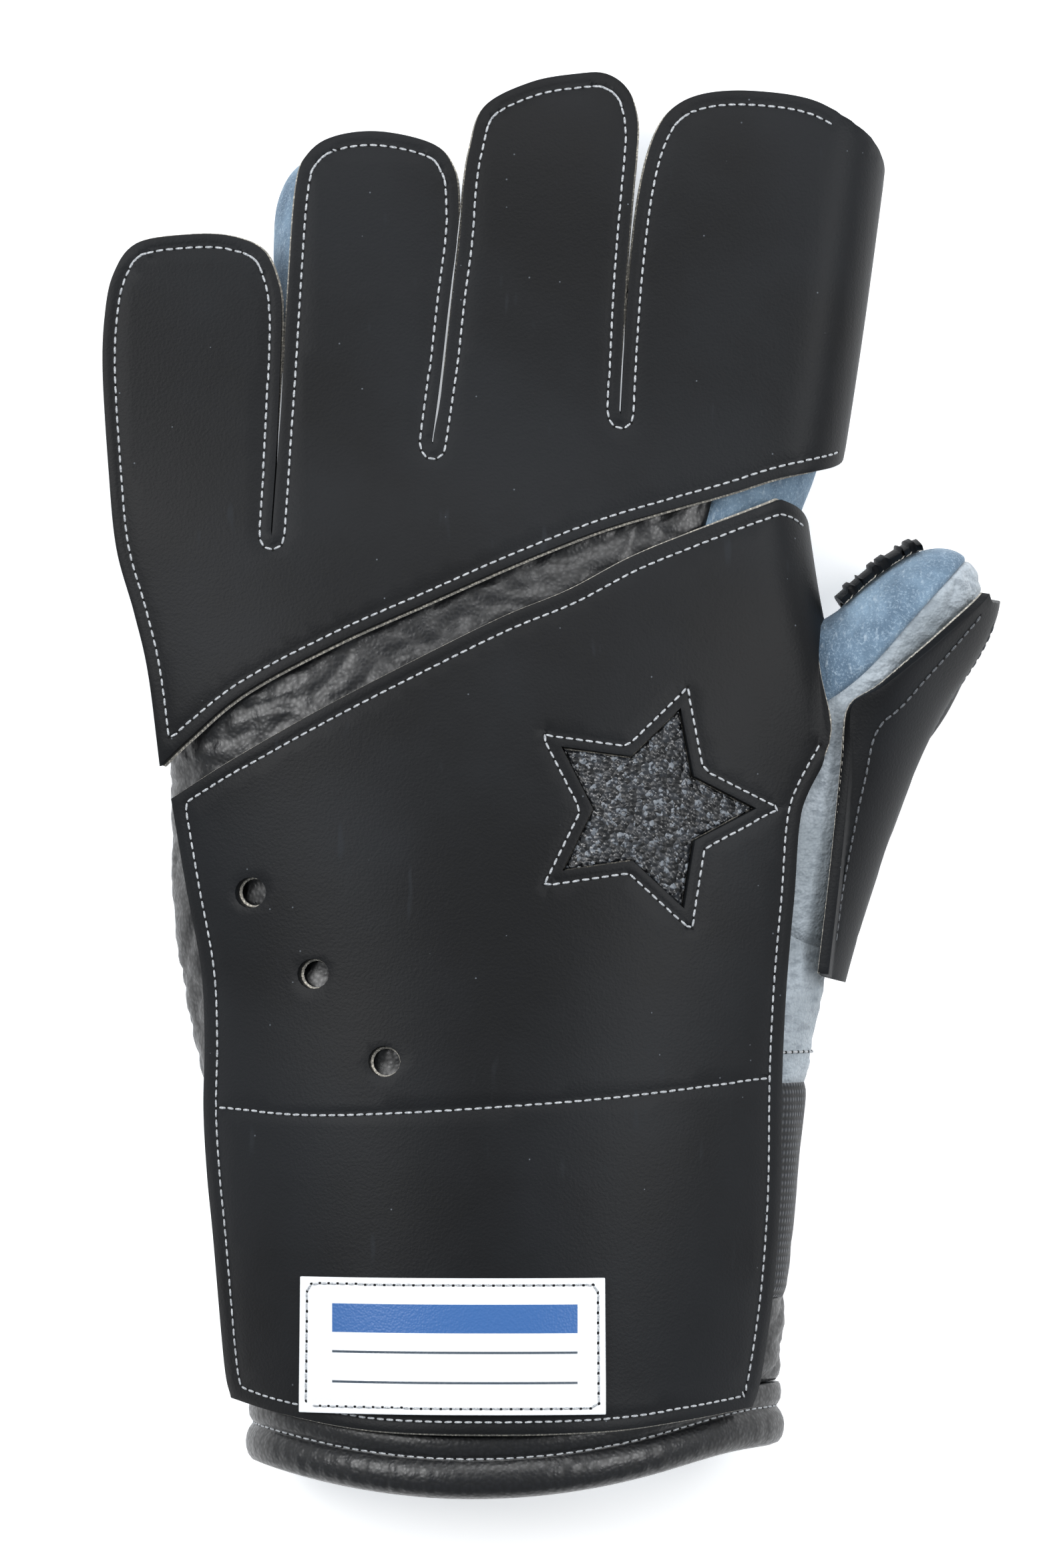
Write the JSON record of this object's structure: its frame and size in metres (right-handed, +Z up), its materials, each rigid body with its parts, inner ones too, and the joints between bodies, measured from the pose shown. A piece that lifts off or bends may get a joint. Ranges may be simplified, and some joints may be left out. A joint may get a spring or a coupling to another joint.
{
  "type": "shooting glove",
  "caption": "Left-hand target shooting glove: rubber-faced back and thumb, suede fingers, wide open cuff, star grip patch and elastic wrist strap.",
  "frame": {"origin": "middle of the glove's plan, on the surface it lies on", "axes": "+Y from the cuff to the fingertips, +X to the thumb side, +Z up out of the back of the hand"},
  "size_m": [0.1896, 0.2998, 0.0625],
  "materials": {
    "back_leather": "glossy pebbled black leather",
    "palm_suede": "steel blue napped suede",
    "little_finger": "steel blue napped suede",
    "ring_finger": "steel blue napped suede",
    "middle_finger": "steel blue napped suede",
    "index_finger": "steel blue napped suede",
    "thumb_suede": "steel blue napped suede",
    "thumb_leather": "light grey leather with fine wrinkles",
    "side_leather": "light grey leather with fine wrinkles",
    "wrist_elastic": "black woven elastic",
    "cuff_rim_back": "black leather roll",
    "cuff_rim_palm": "steel blue napped suede roll",
    "finger_panel": "matte black rubber sheet",
    "hand_panel": "matte black rubber sheet",
    "thumb_outer_panel": "matte black rubber sheet",
    "thumb_inner_panel": "matte black rubber sheet",
    "star_grip": "glittering black rubber granulate",
    "label_patch": "smooth white sewn-on label"
  },
  "bodies": {
    "root": {"back_leather": "back_leather", "palm_suede": "palm_suede", "little_finger": "little_finger", "ring_finger": "ring_finger", "middle_finger": "middle_finger", "index_finger": "index_finger", "thumb_suede": "thumb_suede", "thumb_leather": "thumb_leather", "side_leather": "side_leather", "wrist_elastic": "wrist_elastic", "cuff_rim_back": "cuff_rim_back", "cuff_rim_palm": "cuff_rim_palm", "finger_panel": "finger_panel", "hand_panel": "hand_panel", "thumb_outer_panel": "thumb_outer_panel", "thumb_inner_panel": "thumb_inner_panel", "star_grip": "star_grip", "label_patch": "label_patch"}
  },
  "joints": []
}
